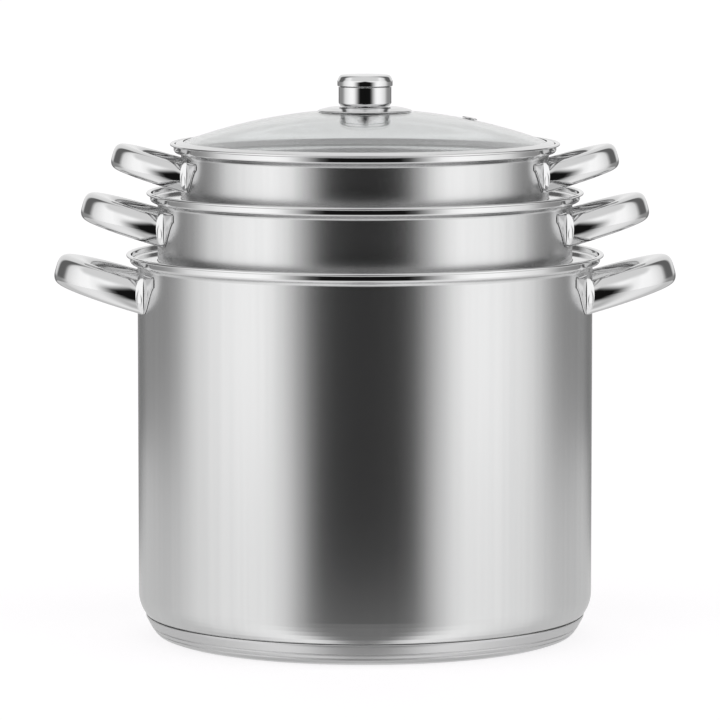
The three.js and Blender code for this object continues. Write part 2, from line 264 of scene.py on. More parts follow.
def polish_rim(shell, v, steel):
    """Gives the ledge, riser and lip of a shell the polished finish."""
    shell.data.materials.append(steel)
    start = v.lip_z - LEDGE_DROP - 0.1 * MM
    for face in shell.data.polygons:
        if face.center.z > start:
            face.material_index = 1


def plain_shell(v):
    """The pot: one closed outline from the middle of the floor and back."""
    r, z = v.wall_r, v.floor_z
    corners = [
        (0, z), (r, z, v.bend), *rim_corners(v), (r - SHEET, z + SHEET, v.bend - SHEET), (0, z + SHEET),
    ]
    return revolve(rounded(corners, closed=False), v.steps)


def wall_cell(hole_u, hole_v):
    """One cell of the wall, from -1 to 1 each way: the hole's edge, a collar round it and the border."""
    steps = [-1 + k / 2 for k in range(4)]
    border = [(t, -1) for t in steps] + [(1, t) for t in steps]
    border += [(-a, -b) for a, b in border]
    turns = [math.atan2(b, a) for a, b in border]
    edge = [(hole_u * math.cos(turn), hole_v * math.sin(turn)) for turn in turns]
    collar = [(u * HOLE_COLLAR, w * HOLE_COLLAR) for u, w in edge]
    return edge, collar, border


def perforated_wall(v, first_z, pitch_z):
    """Staggered holes in the wall: each cell is a square ring of faces round one hole, inside and out."""
    half_angle = math.pi / v.columns
    edge, collar, border = wall_cell(HOLE_R / (v.wall_r * half_angle), HOLE_R / (pitch_z / 2))
    cell = edge + collar + border
    sides = len(border)
    verts, faces = [], []
    for row in range(v.rows):
        for column in range(v.columns):
            angle = (2 * column + 1 + row % 2) * half_angle
            z = first_z + (row + 0.5) * pitch_z
            base = len(verts)
            inside = base + len(cell)
            for radius in (v.wall_r, v.wall_r - SHEET):
                for u, w in cell:
                    at = angle + u * half_angle
                    verts.append((radius * math.cos(at), radius * math.sin(at), z + w * pitch_z / 2))
            for k in range(sides):
                n = (k + 1) % sides
                for low in (base, base + sides, inside, inside + sides):
                    faces.append([low + k, low + n, low + sides + n, low + sides + k])
                faces.append([base + k, base + n, inside + n, inside + k])
    return verts, faces


def floor_holes(radius):
    """Centres of a triangular pattern of holes inside a radius."""
    row_pitch = HOLE_PITCH * math.sqrt(3) / 2
    furthest = radius - 1.6 * HOLE_R
    reach = int(radius / row_pitch) + 1
    out = []
    for row in range(-reach, reach + 1):
        for column in range(-reach, reach + 1):
            x = (column + (row % 2) / 2) * HOLE_PITCH
            y = row * row_pitch
            if math.hypot(x, y) < furthest:
                out.append((x, y))
    return out


def ring_of(count, radius, centre=(0.0, 0.0)):
    """Points round a circle."""
    turns = [2 * math.pi * k / count for k in range(count)]
    return [(centre[0] + radius * math.cos(a), centre[1] + radius * math.sin(a)) for a in turns]


def perforated_floor(v, radius):
    """Flat floor with holes, both faces and the walls of the holes."""
    points = ring_of(v.steps, radius)
    edges = [(k, (k + 1) % v.steps) for k in range(v.steps)]
    holes = floor_holes(radius)
    for hole in holes:
        base = len(points)
        points += ring_of(HOLE_SIDES, HOLE_R, hole)
        edges += [(base + k, base + (k + 1) % HOLE_SIDES) for k in range(HOLE_SIDES)]
    made, _, triangles, *_ = delaunay_2d_cdt([Vector(p) for p in points], edges, [], 0, 1e-9)
    centres = np.array(holes)
    kept = []
    for tri in triangles:
        middle = sum((np.array(made[i]) for i in tri), np.zeros(2)) / 3
        if np.hypot(*(centres - middle).T).min() > HOLE_R * 0.97:
            kept.append(list(tri))
    verts = [(p[0], p[1], z) for z in (v.floor_z, v.floor_z + SHEET) for p in made]
    count = len(made)
    faces = kept + [[count + i for i in tri] for tri in kept]
    for i in range(len(holes)):
        base = v.steps + i * HOLE_SIDES
        for k in range(HOLE_SIDES):
            a, b = base + k, base + (k + 1) % HOLE_SIDES
            faces.append([a, b, count + b, count + a])
    return verts, faces


def perforated_shell(v):
    """An insert: floor and lower wall full of holes, plain upper wall and rim."""
    pitch_z = 2 * math.pi * v.wall_r / v.columns * ROW_PITCH
    r, z = v.wall_r, v.floor_z
    low_z = z + v.bend + HOLE_START
    high_z = low_z + v.rows * pitch_z
    upper = rounded([(r, high_z), *rim_corners(v), (r - SHEET, high_z)], closed=False)
    flat_r = r - v.bend
    outer = rounded([(flat_r, z), (r, z, v.bend), (r, low_z)], closed=False)
    inner = rounded([
        (flat_r, z + SHEET), (r - SHEET, z + SHEET, v.bend - SHEET), (r - SHEET, low_z),
    ], closed=False)
    parts = [revolve(line, v.steps, closed=False) for line in (upper, outer, inner)]
    parts += [perforated_wall(v, low_z, pitch_z), perforated_floor(v, flat_r)]
    return joined(*parts)


# ---------------------------------------------------------------- handles and ears

def oval(count, power):
    """Points of a squared-off unit oval."""
    out = []
    for k in range(count):
        a = 2 * math.pi * k / count
        c, s = math.cos(a), math.sin(a)
        out.append((math.copysign(abs(c) ** (2 / power), c), math.copysign(abs(s) ** (2 / power), s)))
    return out


def handle_shape(v, side, stations=110, around=48):
    """Hollow loop: a squared oval carried round half an ellipse from wall to wall."""
    k = v.scale
    reach = HANDLE["reach"] * k / math.cos(HANDLE_TILT)
    half = HANDLE["half_width"] * k
    root_z = v.lip_z - HANDLE["root_drop"] * k
    cos_t, sin_t = math.cos(HANDLE_TILT), math.sin(HANDLE_TILT)
    on_wall = v.wall_r + GAP
    verts = []
    for skin in (0.0, HANDLE["sheet"]):
        for i in range(stations + 1):
            s = 2 * i / stations - 1
            a = math.copysign((1 - (1 - abs(s)) ** 1.5) * math.pi / 2, s)
            rooted = math.sin(a) ** 2
            thick = k * (HANDLE["end_thickness"] * (1 - rooted) + HANDLE["root_thickness"] * rooted)
            high = HANDLE["height"] * k - 2 * skin
            normal = np.array([math.cos(a) / reach, math.sin(a) / half])
            normal /= np.linalg.norm(normal)
            power = HANDLE["end_squareness"] * (1 - rooted) + HANDLE["root_squareness"] * rooted
            for p, q in oval(around, power):
                w = (thick / 2 - skin) * p - thick / 2
                u = reach * math.cos(a) + normal[0] * w
                y = half * math.sin(a) + normal[1] * w
                h = q * high / 2
                x = v.wall_r + u * cos_t - h * sin_t
                z = root_z + u * sin_t + h * cos_t
                touch = math.sqrt(on_wall ** 2 - y * y)
                if i in (0, stations) or x < touch:
                    z += (touch - x) * math.tan(HANDLE_TILT)
                    x = touch
                verts.append((side * x, y, z))
    leaves = [leaf_shape(v, side, end, root_z) for end in (-1, 1)]
    return joined((verts, tube_faces(stations, around)), *leaves)


def tube_faces(stations, around):
    """Faces of a tube's outer and inner skin, joined at both ends."""
    faces = []
    rings = stations + 1
    for skin in range(2):
        for i in range(stations):
            for j in range(around):
                a = (skin * rings + i) * around
                n = (j + 1) % around
                faces.append([a + j, a + n, a + around + n, a + around + j])
    for i in (0, stations):
        outer, inner = i * around, (rings + i) * around
        for j in range(around):
            n = (j + 1) % around
            faces.append([outer + j, outer + n, inner + n, inner + j])
    return faces


def leaf_shape(v, side, end, root_z):
    """Closed leaf that covers the end of a handle leg: it rises to a crest near the wall."""
    k = v.scale
    leg_y = HANDLE["half_width"] * k
    wall_x = math.sqrt((v.wall_r + EAR["gap"]) ** 2 - leg_y ** 2)
    mid_z = root_z + 0.3 * LEAF["width"] * math.tan(HANDLE_TILT)
    width, height = LEAF["width"] * k, LEAF["height"] * k
    across, down = spread(28, 1.5), spread(60, 1.7)
    grid = np.zeros((2, len(across), len(down), 3))
    for j, d in enumerate(down):
        w = 2 * d - 1
        taper = (1 - abs(w) ** LEAF["squareness"]) ** 0.5 * (1 - LEAF["foot_taper"] * max(0.0, -w))
        for i, c in enumerate(across):
            u = 1 - taper * (1 - c)
            rising = c / LEAF["crest"] if c < LEAF["crest"] else (1 - c) / (1 - LEAF["crest"])
            bulge = LEAF["rise"] * k * rising * taper ** LEAF["fullness"]
            oval_u = (u - LEAF["dimple_at"]) * width / (LEAF["dimple_width"] * k / 2)
            oval_w = (w * height / 2 + LEAF["dimple_drop"] * k) / (LEAF["dimple_height"] * k / 2)
            ring = (math.hypot(oval_u, oval_w) - 1) / LEAF["dimple_blur"]
            near_edge = min(1.0, bulge / (0.5 * MM))
            bulge -= LEAF["dimple_depth"] * k * math.exp(-ring * ring) * near_edge
            x = wall_x + width * (1 - u)
            for layer, y in enumerate((leg_y - LEAF["sink"] * k, leg_y + bulge)):
                grid[layer, i, j] = (side * x, end * y, mid_z + w * height / 2)
    return plate_mesh(grid)


def spread(count, dense):
    """Numbers from 0 to 1, closer together at both ends."""
    line = np.linspace(-1, 1, count)
    return 0.5 + 0.5 * np.sign(line) * (1 - (1 - np.abs(line)) ** dense)


def ear_shape(v, side, end):
    """Leaf-shaped welded plate with soft edges, bent to the wall."""
    k = v.scale
    width = EAR["width"] * k
    side_drop = EAR["side_drop"] * k + EAR["corner"] * (1 - k)
    tip_drop = EAR["tip_drop"] * k
    start = math.asin(EAR["start"] * k / v.wall_r)
    across = spread(26, 1.6) * width
    down = spread(34, 1.6)
    grid = np.zeros((2, len(across), len(down), 3))
    for i, s in enumerate(across):
        t = s / width
        rise = (1 - EAR["curl"]) * t + EAR["curl"] * t * t * (3 - 2 * t)
        low = -(tip_drop + (side_drop - tip_drop) * rise)
        corner = max(0.0, (s - (width - EAR["corner"])) / EAR["corner"])
        top = -EAR["top_drop"] - EAR["corner"] * (1 - math.sqrt(max(0.0, 1 - corner * corner)))
        for j, d in enumerate(down):
            z = low + (top - low) * d
            edge = min(width - s, (z - low) * EAR["edge_slope"], top - z) / EAR["edge"]
            full = math.sqrt(max(0.0, 1 - (1 - min(1.0, edge)) ** 2))
            thickness = EAR["thickness"] * (EAR["edge_share"] + (1 - EAR["edge_share"]) * full)
            for layer, out in enumerate((0.0, thickness)):
                r = v.wall_r + EAR["gap"] + out
                a = start + s / v.wall_r
                grid[layer, i, j] = (side * r * math.cos(a), end * r * math.sin(a), v.lip_z + z)
    return plate_mesh(grid)


def plate_mesh(grid):
    """Closed mesh between two layers of points, each a grid of rows and columns."""
    _, rows, columns, _ = grid.shape
    index = np.arange(2 * rows * columns).reshape(2, rows, columns)
    faces = []
    for layer in index:
        for i in range(rows - 1):
            for j in range(columns - 1):
                faces.append([layer[i, j], layer[i + 1, j], layer[i + 1, j + 1], layer[i, j + 1]])
    loop = [(i, 0) for i in range(rows - 1)] + [(rows - 1, j) for j in range(columns - 1)]
    loop += [(i, columns - 1) for i in range(rows - 1, 0, -1)] + [(0, j) for j in range(columns - 1, 0, -1)]
    for (i, j), (i2, j2) in zip(loop, loop[1:] + loop[:1]):
        faces.append([index[0, i, j], index[0, i2, j2], index[1, i2, j2], index[1, i, j]])
    return grid.reshape(-1, 3).tolist(), [[int(v) for v in face] for face in faces]


def add_handles(v, steel):
    """Left and right loops of a vessel, each with its two ears."""
    for side_name, side in (("left", -1), ("right", 1)):
        node = f"{v.name}_handle_{side_name}"
        loop = handle_shape(v, side)
        piece(node + "_loop", loop, steel, v.name, [node], weld=1e-7, sharp_deg=50)
        for end_name, end in (("front", -1), ("back", 1)):
            node = f"{v.name}_ear_{side_name}_{end_name}"
            shape = ear_shape(v, side, end)
            piece(node + "_plate", shape, steel, v.name, [node], weld=1e-7, sharp_deg=60)


def add_support_ring(insert, steel):
    """Welded ring with a rolled edge that rests on the ledge of the vessel below."""
    node = insert.name + "_support_ring"
    low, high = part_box(node)
    inner = insert.wall_r + GAP
    top = low.z + RING["plate"]
    roll_in = high.x - RING["roll"]
    outline = rounded([
        (inner, low.z, 0.2 * MM), (high.x, low.z, 0.35 * MM), (high.x, high.z, 0.75 * MM),
        (roll_in, high.z, 0.7 * MM), (roll_in - RING["slope"], top, 0.8 * MM), (inner, top, 0.3 * MM),
    ])
    piece(insert.name + "_ring", revolve(outline, insert.steps), steel, insert.name, [node])


# ---------------------------------------------------------------- base

def cap_outline():
    """Base cap: flat foot and a shoulder in three bands, parted by two pressed grooves."""
    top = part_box("base_cap")[1]
    outer = rounded([
        (0, 0), (CAP_FOOT_R, 0, CAP_FOOT_BEND), *metres(CAP_SHOULDER), *metres(CAP_GROOVES),
        (top.x - 0.3 * MM, top.z - 1.2 * MM, 3 * MM), (top.x - 0.2 * MM, top.z),
    ], closed=False)
    inner = rounded([
        (0, CAP_SHEET), (CAP_FOOT_R, CAP_SHEET, CAP_FOOT_BEND), *metres(CAP_INSIDE),
        (top.x - 0.75 * MM, top.z),
    ], closed=False)
    return [*outer, *reversed(inner)]


def core_outline(pot):
    """Aluminium disc that fills the cap up to the pot's floor and part of its bend."""
    foot_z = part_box("base_core")[0].z
    flat = pot.wall_r - pot.bend
    bend = pot.bend + CORE_GAP
    centre_z = pot.floor_z + pot.bend
    turns = np.radians(np.linspace(CORE_REACH, 0, 12))
    under = [(flat + bend * math.sin(a), centre_z - bend * math.cos(a)) for a in turns]
    return [(0.0, foot_z), (CAP_FOOT_R, foot_z), *metres(CORE_SHOULDER), *under, (0.0, pot.floor_z - GAP)]


# ---------------------------------------------------------------- lid

class Lid:
    """Sizes of the lid, from its CAD nodes."""

    def __init__(self):
        low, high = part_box("lid_glass")
        self.edge_r = high.x
        self.apex_z = high.z
        rise = high.z - (low.z + GLASS)
        self.ball_r = (self.edge_r ** 2 + rise ** 2) / (2 * rise)
        vent_low, vent_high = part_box("vent_eyelet")
        self.vent = (vent_low + vent_high) / 2

    def z(self, r):
        """Height of the glass's upper face at a radius."""
        return self.apex_z - self.ball_r + math.sqrt(self.ball_r ** 2 - r ** 2)


def glass_outline(lid):
    """Dome of even thickness with ground, rounded edges."""
    half = GLASS / 2
    radii = np.linspace(GLASS_BORE_R + 0.4 * MM, lid.edge_r - 1.6 * MM, 40)
    top = [np.array([r, lid.z(r)]) for r in radii]
    under = [np.array([r, lid.z(r) - GLASS]) for r in reversed(radii)]
    centre = np.array([lid.edge_r - half, lid.z(lid.edge_r - half) - half])
    turns = np.radians(np.linspace(80, -80, 12))
    edge = [centre + half * np.array([math.cos(a), math.sin(a)]) for a in turns]
    return [*top, *edge, *under]


def band_outline(lid):
    """Rolled strip that grips the glass's edge from both sides."""
    low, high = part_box("lid_band")
    lap = lid.edge_r - BAND_LAP
    edge_top = lid.z(lid.edge_r) + GAP
    lap_top = lid.z(lap) + GAP
    bottom = lid.z(lid.edge_r) - GLASS - GAP
    return rounded([
        (high.x, low.z, 0.9 * MM), (high.x, edge_top + BAND_SHEET, 1.2 * MM),
        (lap, lap_top + BAND_SHEET, 0.2 * MM), (lap, lap_top, 0.1 * MM),
        (lid.edge_r + GAP, edge_top, 0.5 * MM), (lid.edge_r + GAP, bottom, 0.3 * MM),
        (lap, bottom, 0.1 * MM), (lap, low.z, 0.2 * MM),
    ])


def tilted(shape, lid):
    """A shape turned round Z, moved so that its Z lies along the glass's normal at the vent."""
    r = math.hypot(lid.vent.x, lid.vent.y)
    normal = Vector((lid.vent.x, lid.vent.y, lid.z(r) - lid.apex_z + lid.ball_r)).normalized()
    turn = Vector((0, 0, 1)).rotation_difference(normal)
    spot = Vector((lid.vent.x, lid.vent.y, lid.z(r)))
    return [tuple(spot + turn @ Vector(p)) for p in shape[0]], shape[1]


def add_lid(steel, knob_steel, fastener, glass, silicone):
    """Glass dome, edge band, steam vent and knob."""
    lid = Lid()
    turns = 192
    piece("lid_dome", revolve(glass_outline(lid), turns), glass, "lid", ["lid_glass"])
    piece("lid_edge_band", revolve(band_outline(lid), turns), steel, "lid", ["lid_band"])
    low = -GLASS - 0.5 * MM
    eyelet = rounded([
        (2.0 * MM, low, 0.2 * MM), (3.0 * MM, low, 0.3 * MM), (3.0 * MM, GAP, 0.2 * MM),
        (5.0 * MM, GAP, 0.2 * MM), (5.0 * MM, 1.0 * MM, 0.5 * MM), (2.0 * MM, 1.4 * MM, 0.6 * MM),
    ])
    piece("steam_vent", tilted(revolve(eyelet, 40), lid), steel, "lid", ["vent_eyelet"])
    add_knob(knob_steel, fastener, silicone)


def add_knob(steel, fastener, silicone):
    """Base plate and its gasket, barrel and cap, all turned round the lid's axis."""
    def turned(name, node, corners, material, slot, steps=96):
        on_axis = corners[0][0] == 0
        piece(name, revolve(rounded(corners, closed=not on_axis), steps), material, "lid", [node])

    low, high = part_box("knob_base_plate")
    hole = FASTENER_BORE_R
    turned("knob_plate", "knob_base_plate", [
        (hole, high.z - 1.0 * MM, 0.1 * MM), (17.6 * MM, high.z - 1.0 * MM, 3 * MM),
        (24.0 * MM, high.z - 1.8 * MM, 6 * MM),
        (high.x - 0.5 * MM, low.z, 0.2 * MM), (high.x, low.z + 0.3 * MM, 0.3 * MM),
        (high.x - 0.7 * MM, low.z + 0.95 * MM, 0.3 * MM), (24.6 * MM, high.z - 0.7 * MM, 7 * MM),
        (17.8 * MM, high.z, 4 * MM), (hole, high.z, 0.1 * MM),
    ], steel, "polished_steel", 128)
    low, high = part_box("plate_gasket")
    turned("plate_seal", "plate_gasket", [
        (3.1 * MM, low.z, 0.15 * MM), (high.x, low.z, 0.4 * MM),
        (high.x, high.z, 0.4 * MM), (3.1 * MM, high.z, 0.15 * MM),
    ], silicone, "gasket_silicone")
    low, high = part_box("knob_body")
    r = high.x
    turned("knob_barrel", "knob_body", [
        (hole, low.z, 0.1 * MM), (r - 1.3 * MM, low.z, 0.9 * MM), (r, low.z + 1.7 * MM, 1.5 * MM),
        (r, high.z, 0.3 * MM), (r - 1.0 * MM, high.z, 0.3 * MM), (r - 1.0 * MM, low.z + 2.8 * MM, 1.0 * MM),
        (r - 2.6 * MM, low.z + 1.1 * MM, 0.8 * MM), (hole, low.z + 1.1 * MM, 0.1 * MM),
    ], steel, "polished_steel")
    low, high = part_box("knob_cap")
    inner = r - 1.3 * MM
    turned("knob_top", "knob_cap", [
        (0, high.z), (high.x - 1.6 * MM, high.z - 0.5 * MM, 2.6 * MM), (high.x, high.z - 4.2 * MM, 3.0 * MM),
        (high.x, low.z, 0.5 * MM), (inner, low.z, 0.3 * MM), (inner, high.z - 3.0 * MM, 2.0 * MM),
        (0, high.z - 1.6 * MM),
    ], steel, "polished_steel", 128)
    add_fastener(turned, fastener, silicone)


def add_fastener(turned, fastener, silicone):
    """Domed screw with a turned thread, its washer and its gasket."""
    low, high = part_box("knob_screw")
    head = high.x
    threads = []
    z = low.z + 3.2 * MM
    while z < high.z - 1.2 * MM:
        threads += [(SHANK_R, z), (SHANK_R - 0.3 * MM, z + THREAD_PITCH / 2), (SHANK_R, z + THREAD_PITCH)]
        z += THREAD_PITCH
    turned("screw", "knob_screw", [
        (0, low.z), (head - 1.2 * MM, low.z + 0.1 * MM, 2.2 * MM), (head, low.z + 2.2 * MM, 0.15 * MM),
        (SHANK_R, low.z + 2.2 * MM), *threads, (SHANK_R - 0.5 * MM, high.z), (0, high.z),
    ], fastener, "fastener_steel", 48)
    hole = FASTENER_BORE_R
    for name, node, material, slot in (
        ("washer", "screw_washer", fastener, "fastener_steel"),
        ("under_seal", "screw_gasket", silicone, "gasket_silicone"),
    ):
        low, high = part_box(node)
        soft = (high.z - low.z) * 0.3
        turned(name, node, [
            (hole, low.z, 0.1 * MM), (high.x, low.z, soft), (high.x, high.z, soft), (hole, high.z, 0.1 * MM),
        ], material, slot, 64)


def add_nut(fastener):
    """Hexagon nut with chamfered corners and a round bore."""
    low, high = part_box("knob_nut")
    flat_r = high.x * math.cos(math.pi / 6)
    chamfer, corner_share = 0.7 * MM, 0.9
    steps = 72
    turns = [2 * math.pi * k / steps for k in range(steps)]
    verts, faces = [], []
    levels = [(low.z, corner_share), (low.z + chamfer, 1), (high.z - chamfer, 1), (high.z, corner_share)]
    for z, share in levels:
        for a in turns:
            off = (a % (math.pi / 3)) - math.pi / 6
            r = min(flat_r / math.cos(off), high.x * share)
            verts.append((r * math.cos(a), r * math.sin(a), z))
    for z in (high.z, low.z):
        verts += [(FASTENER_BORE_R * math.cos(a), FASTENER_BORE_R * math.sin(a), z) for a in turns]
    rings = len(levels) + 2
    for i in range(rings):
        for k in range(steps):
            n = (k + 1) % steps
            a, b = i * steps, ((i + 1) % rings) * steps
            faces.append([a + k, a + n, b + n, b + k])
    piece("nut", (verts, faces), fastener, "lid", ["knob_nut"], sharp_deg=25)


# ---------------------------------------------------------------- materials

def new_material(name):
    """A material with its node tree and its main shader."""
    material = bpy.data.materials.new(name)
    material.use_nodes = True
    tree = material.node_tree
    return material, tree, tree.nodes["Principled BSDF"]


def add_noise(tree, vector_scale, scale, detail):
    """Noise on the object's own coordinates, stretched by vector_scale."""
    coord = tree.nodes.new("ShaderNodeTexCoord")
    mapping = tree.nodes.new("ShaderNodeMapping")
    mapping.inputs["Scale"].default_value = vector_scale
    noise = tree.nodes.new("ShaderNodeTexNoise")
    noise.inputs["Scale"].default_value = scale
    noise.inputs["Detail"].default_value = detail
    tree.links.new(coord.outputs["Object"], mapping.inputs["Vector"])
    tree.links.new(mapping.outputs["Vector"], noise.inputs["Vector"])
    return noise.outputs["Fac"]


def spread_range(tree, noise, low, high):
    """Noise, which mostly stays between 0.3 and 0.7, mapped to low to high."""
    node = tree.nodes.new("ShaderNodeMapRange")
    node.inputs["From Min"].default_value = 0.3
    node.inputs["From Max"].default_value = 0.7
    node.inputs["To Min"].default_value = low
    node.inputs["To Max"].default_value = high
    tree.links.new(noise, node.inputs["Value"])
    return node.outputs["Result"]


def add_bump(tree, shader, height, strength, distance):
    """Relief on a shader's normal."""
    bump = tree.nodes.new("ShaderNodeBump")
    bump.inputs["Strength"].default_value = strength
    bump.inputs["Distance"].default_value = distance
    tree.links.new(height, bump.inputs["Height"])
    tree.links.new(bump.outputs["Normal"], shader.inputs["Normal"])


def tint(tree, shader, value, dark, light):
    """Base colour that drifts between two greys with a noise value."""
    mix = tree.nodes.new("ShaderNodeMix")
    mix.data_type = "RGBA"
    mix.inputs["A"].default_value = (*dark, 1)
    mix.inputs["B"].default_value = (*light, 1)
    tree.links.new(value, mix.inputs["Factor"])
    tree.links.new(mix.outputs["Result"], shader.inputs["Base Color"])


def brushed_steel():
    """Satin stainless steel: fine lines run round the wall, so reflections smear up and down."""
    material, tree, shader = new_material("brushed_steel")
    shader.inputs["Metallic"].default_value = 1
    shader.inputs["Anisotropic"].default_value = 0.35
    shader.inputs["Anisotropic Rotation"].default_value = 0.25
    tangent = tree.nodes.new("ShaderNodeTangent")
    tangent.direction_type = "RADIAL"
    tangent.axis = "Z"
    tree.links.new(tangent.outputs["Tangent"], shader.inputs["Tangent"])
    lines = add_noise(tree, (14, 14, 2600), 1, 3)
    tree.links.new(spread_range(tree, lines, 0.225, 0.235), shader.inputs["Roughness"])
    streaks = add_noise(tree, (150, 150, 1.5), 1, 4)
    tint(tree, shader, streaks, (0.64, 0.642, 0.645), (0.715, 0.715, 0.715))
    add_bump(tree, shader, lines, 0.02, 0.00002)
    return material


def polished_steel(name, roughness):
    """Mirror-polished stainless steel with the faint waviness of pressed sheet."""
    material, tree, shader = new_material(name)
    shader.inputs["Metallic"].default_value = 1
    smudge = add_noise(tree, (1, 1, 1), 38, 3)
    tree.links.new(spread_range(tree, smudge, roughness * 0.7, roughness * 1.3), shader.inputs["Roughness"])
    tint(tree, shader, smudge, (0.70, 0.70, 0.705), (0.75, 0.75, 0.75))
    add_bump(tree, shader, add_noise(tree, (1, 1, 1), 60, 1), 0.12, 0.0002)
    return material


def satin_cap():
    """Finely blasted steel of the base cap, which scatters part of the light."""
    material, tree, shader = new_material("satin_steel")
    shader.inputs["Metallic"].default_value = 0.85
    grain = add_noise(tree, (1, 1, 1), 300, 3)
    tree.links.new(spread_range(tree, grain, 0.29, 0.31), shader.inputs["Roughness"])
    tint(tree, shader, grain, (0.59, 0.59, 0.595), (0.61, 0.61, 0.61))
    return material


def aluminium():
    """Pressed aluminium with a dull, slightly grainy face."""
    material, tree, shader = new_material("core_aluminium")
    shader.inputs["Metallic"].default_value = 1
    grain = add_noise(tree, (1, 1, 1), 900, 3)
    tree.links.new(spread_range(tree, grain, 0.42, 0.55), shader.inputs["Roughness"])
    tint(tree, shader, grain, (0.55, 0.56, 0.57), (0.66, 0.67, 0.68))
    add_bump(tree, shader, grain, 0.2, 0.0001)
    return material


def lid_glass():
    """Clear tempered glass with the lightest surface haze."""
    material, tree, shader = new_material("lid_glass")
    shader.inputs["Transmission Weight"].default_value = 1
    shader.inputs["IOR"].default_value = 1.5
    haze = add_noise(tree, (1, 1, 1), 22, 2)
    tree.links.new(spread_range(tree, haze, 0.0, 0.02), shader.inputs["Roughness"])
    tint(tree, shader, haze, (0.93, 0.95, 0.95), (0.96, 0.97, 0.97))
    return material


def silicone():
    """Milky silicone rubber."""
    material, tree, shader = new_material("gasket_silicone")
    shader.inputs["Subsurface Weight"].default_value = 0.2
    grain = add_noise(tree, (1, 1, 1), 1500, 2)
    tree.links.new(spread_range(tree, grain, 0.55, 0.7), shader.inputs["Roughness"])
    tint(tree, shader, grain, (0.78, 0.78, 0.76), (0.84, 0.84, 0.82))
    return material


# ---------------------------------------------------------------- studio

# Light of the studio wall: degrees round from behind the camera, and brightness. Both sides are alike.
WALL_LIGHT = [
    (0, 0.008), (21, 0.009), (27, 0.11), (34, 0.47), (42, 0.9), (47, 1.15), (56, 1.28), (70, 1.24),
    (84, 1.08), (96, 0.9), (104, 0.62), (110, 0.44), (117, 0.35), (124, 0.32), (145, 0.32), (153, 0.2),
    (164, 0.2), (171, 0.45), (176, 0.75), (180, 0.88),
]
# The same above the horizon, where a white backdrop stands behind narrow dark strips.
UPPER_LIGHT = [
    *WALL_LIGHT[:9],
    (97, 0.88), (103, 0.5), (108, 0.2), (113, 0.15), (134, 0.15), (139, 0.5), (145, 0.85), (180, 0.9),
]
TOP_LEVEL = 2  # brightest level a ramp can hold
HORIZON = (-0.06, 0.05)  # sines of the heights between which one turns into the other
GAP_TOP = 0.02  # sine of the height where the dark gap in front begins to close
GAP_TAPER = 0.4  # and how fast it does
GAP_SIDES = (0.13, 0.3)  # half turns from the front between which the closing ends
CEILING_LIGHT = 0.84
CEILING_LOW = 0.36  # sine of the height where the ceiling starts in front
CEILING_HIGH = 0.8  # and at the sides and back
CEILING_SIDES = (0.33, 0.55)  # half turns from the front between which one becomes the other
CEILING_BLUR = 0.3
BACKDROP = 0.975
# Painted reflection of the table in front of the foot, brighter in a thin ring at the edge and with a
# painted shadow from 3 to 40 mm: distance from the cap's edge in metres, and share.
TABLE_LIGHT = [
    (0, 0.35), (0.001, 0.25), (0.003, 0.13), (0.04, 0.13),
    (0.06, 0.6), (0.1, 0.9), (0.3, 0.95), (0.7, 0.9), (1.0, 0),
]
TABLE_HOLE_R = 0.1
TABLE_LIFT = 0.05 * MM
TABLE_WHITE = 0.92
TABLE_SIDE = 0.62  # share to the left and right of the pot
TABLE_SIDES = (0.35, 0.75)  # sines of the directions between which the side's share takes over
TABLE_STEEP = (0.3, 0.62)  # sines of the slopes between which the glossy table turns from mirror to white
TABLE_NEAR = 0.22  # share still seen at a flat angle close to the foot
TABLE_FADE = (0.5, 0.05)  # distances between which it appears
FLOOR_HALF = 12.0
FLOOR_DROP = 0.1 * MM
CAMERA = {"distance": 3.54, "height": 0.5566, "pitch": 0.1053, "lens": 269.25, "shift": -0.006944}


def feed(tree, socket, value):
    """Sets a socket to a number, or links another node's output to it."""
    if isinstance(value, (int, float)):
        socket.default_value = value
    else:
        tree.links.new(value, socket)


def math_node(tree, operation, *values):
    """Output of one math node."""
    node = tree.nodes.new("ShaderNodeMath")
    node.operation = operation
    for socket, value in zip(node.inputs, values):
        feed(tree, socket, value)
    return node.outputs[0]


def smooth_step(tree, value, low, high):
    """0 below low and 1 above high, with a soft change between them."""
    node = tree.nodes.new("ShaderNodeMapRange")
    node.interpolation_type = "SMOOTHSTEP"
    node.inputs["From Min"].default_value = low
    node.inputs["From Max"].default_value = high
    tree.links.new(value, node.inputs["Value"])
    return node.outputs["Result"]


def mix_value(tree, factor, a, b):
    """a where the factor is 0, b where it is 1."""
    node = tree.nodes.new("ShaderNodeMix")
    for name, value in (("Factor", factor), ("A", a), ("B", b)):
        feed(tree, node.inputs[name], value)
    return node.outputs["Result"]


def add_ramp(tree, value, levels, full):
    """Brightness by a list of (place, level), whose last place is full."""
    ramp = tree.nodes.new("ShaderNodeValToRGB")
    elements = ramp.color_ramp.elements
    elements[0].position, elements[1].position = 0, 1
    for place, _ in levels[1:-1]:
        elements.new(place / full)
    for element, (_, level) in zip(elements, levels):
        element.color = (level / TOP_LEVEL, level / TOP_LEVEL, level / TOP_LEVEL, 1)
    tree.links.new(value, ramp.inputs["Fac"])
    return math_node(tree, "MULTIPLY", ramp.outputs["Color"], TOP_LEVEL)


